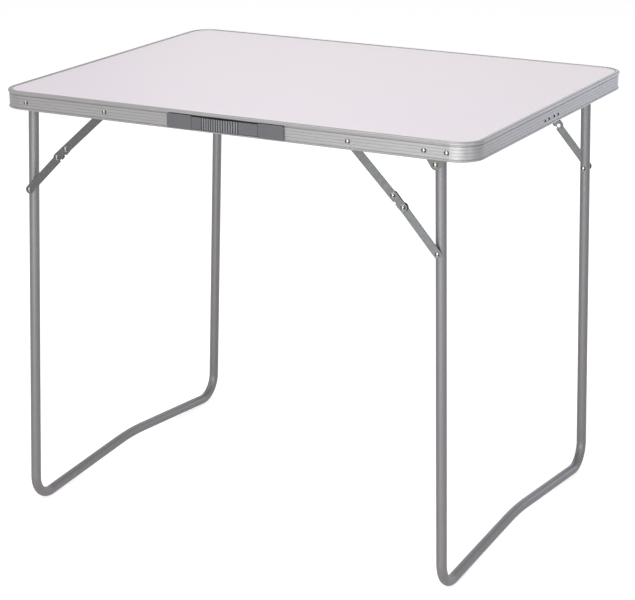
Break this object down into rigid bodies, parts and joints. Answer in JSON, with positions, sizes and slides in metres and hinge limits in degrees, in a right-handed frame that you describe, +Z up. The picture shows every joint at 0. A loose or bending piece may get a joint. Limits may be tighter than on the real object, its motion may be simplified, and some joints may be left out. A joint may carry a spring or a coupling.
{
  "type": "folding camping table",
  "caption": "Folding camping table: white board in a ribbed aluminium edge frame, grey U-shaped tube legs, jointed flat braces and a carrying strap on one long side.",
  "frame": {"origin": "on the floor, under the middle of the table", "axes": "+Z up, +X along the long side towards the leg with the lower hinge, +Y away from the handle's side"},
  "size_m": [0.8, 0.6022, 0.69],
  "materials": {
    "board": "melamine laminate, satin",
    "frame": "satin anodised extrusion",
    "leg": "glossy grey enamel",
    "link": "zinc plated strip",
    "bracket": "grey enamel",
    "rivet": "bright plated",
    "spacer": "moulded",
    "handle": "moulded, fine grain"
  },
  "bodies": {
    "top": {"top_board": "board", "edge_frame": "frame", "splice_plate": "frame", "splice_rivets": "rivet", "handle_cap_left": "handle", "handle_cap_right": "handle", "handle_cap_rivets": "rivet", "hinge_bracket_front": "bracket", "hinge_bracket_rear": "bracket", "bracket_rivets": "rivet", "left_hinge_rivet_front": "rivet", "left_hinge_rivet_rear": "rivet", "right_hinge_rivet_front": "rivet", "right_hinge_rivet_rear": "rivet", "left_hinge_spacers": "spacer", "right_hinge_spacers": "spacer", "frame_rivet_left_front": "rivet", "frame_rivet_left_rear": "rivet", "frame_rivet_right_front": "rivet", "frame_rivet_right_rear": "rivet", "frame_washers": "spacer"},
    "left_leg": {"left_leg": "leg", "left_leg_bushes": "spacer", "left_leg_pins": "rivet"},
    "right_leg": {"right_leg": "leg", "right_leg_bushes": "spacer", "right_leg_pins": "rivet"},
    "handle_strap": {"handle_strap": "handle"},
    "upper_left_front": {"upper_link_left_front": "link", "knee_rivet_left_front": "rivet", "knee_washer_left_front": "spacer", "stop_stud_left_front": "rivet"},
    "lower_left_front": {"lower_link_left_front": "link", "leg_rivet_left_front": "rivet"},
    "upper_left_rear": {"upper_link_left_rear": "link", "knee_rivet_left_rear": "rivet", "knee_washer_left_rear": "spacer", "stop_stud_left_rear": "rivet"},
    "lower_left_rear": {"lower_link_left_rear": "link", "leg_rivet_left_rear": "rivet"},
    "upper_right_front": {"upper_link_right_front": "link", "knee_rivet_right_front": "rivet", "knee_washer_right_front": "spacer", "stop_stud_right_front": "rivet"},
    "lower_right_front": {"lower_link_right_front": "link", "leg_rivet_right_front": "rivet"},
    "upper_right_rear": {"upper_link_right_rear": "link", "knee_rivet_right_rear": "rivet", "knee_washer_right_rear": "spacer", "stop_stud_right_rear": "rivet"},
    "lower_right_rear": {"lower_link_right_rear": "link", "leg_rivet_right_rear": "rivet"}
  },
  "joints": [
    {"name": "left_leg_fold", "type": "hinge", "parent": "top", "child": "left_leg", "pos_m": [-0.3495, 0, 0.6734], "axis": [0, -1, 0], "range_deg": [0, 92.3]},
    {"name": "upper_link_left_front_turn", "type": "hinge", "parent": "top", "child": "upper_left_front", "pos_m": [-0.20614, -0.2945, 0.6734], "axis": [0, -1, 0], "range_deg": [0, 138.65]},
    {"name": "knee_left_front_bend", "type": "hinge", "parent": "upper_left_front", "child": "lower_left_front", "pos_m": [-0.2812, -0.293, 0.60733], "axis": [0, 1, 0], "range_deg": [0, 183.37]},
    {"name": "upper_link_left_rear_turn", "type": "hinge", "parent": "top", "child": "upper_left_rear", "pos_m": [-0.20614, 0.2945, 0.6734], "axis": [0, -1, 0], "range_deg": [0, 138.65]},
    {"name": "knee_left_rear_bend", "type": "hinge", "parent": "upper_left_rear", "child": "lower_left_rear", "pos_m": [-0.2812, 0.293, 0.60733], "axis": [0, 1, 0], "range_deg": [0, 183.37]},
    {"name": "right_leg_fold", "type": "hinge", "parent": "top", "child": "right_leg", "pos_m": [0.3405, 0, 0.6545], "axis": [0, 1, 0], "range_deg": [0, 91.25]},
    {"name": "upper_link_right_front_turn", "type": "hinge", "parent": "top", "child": "upper_right_front", "pos_m": [0.20436, -0.2945, 0.6734], "axis": [0, 1, 0], "range_deg": [0, 123.79]},
    {"name": "knee_right_front_bend", "type": "hinge", "parent": "upper_right_front", "child": "lower_right_front", "pos_m": [0.27468, -0.293, 0.6023], "axis": [0, -1, 0], "range_deg": [0, 172.48]},
    {"name": "upper_link_right_rear_turn", "type": "hinge", "parent": "top", "child": "upper_right_rear", "pos_m": [0.20436, 0.2945, 0.6734], "axis": [0, 1, 0], "range_deg": [0, 123.79]},
    {"name": "knee_right_rear_bend", "type": "hinge", "parent": "upper_right_rear", "child": "lower_right_rear", "pos_m": [0.27468, 0.293, 0.6023], "axis": [0, -1, 0], "range_deg": [0, 172.48]},
    {"name": "handle_strap_slide", "type": "slide", "parent": "top", "child": "handle_strap", "axis": [1, 0, 0], "range_m": [0, 0.016]}
  ],
  "couplings": [
    {"joint": "upper_link_left_front_turn", "follows": "left_leg_fold", "ratio": 1.5021},
    {"joint": "knee_left_front_bend", "follows": "left_leg_fold", "ratio": 1.9867},
    {"joint": "upper_link_left_rear_turn", "follows": "left_leg_fold", "ratio": 1.5021},
    {"joint": "knee_left_rear_bend", "follows": "left_leg_fold", "ratio": 1.9867},
    {"joint": "upper_link_right_front_turn", "follows": "right_leg_fold", "ratio": 1.3566},
    {"joint": "knee_right_front_bend", "follows": "right_leg_fold", "ratio": 1.8902},
    {"joint": "upper_link_right_rear_turn", "follows": "right_leg_fold", "ratio": 1.3566},
    {"joint": "knee_right_rear_bend", "follows": "right_leg_fold", "ratio": 1.8902}
  ]
}
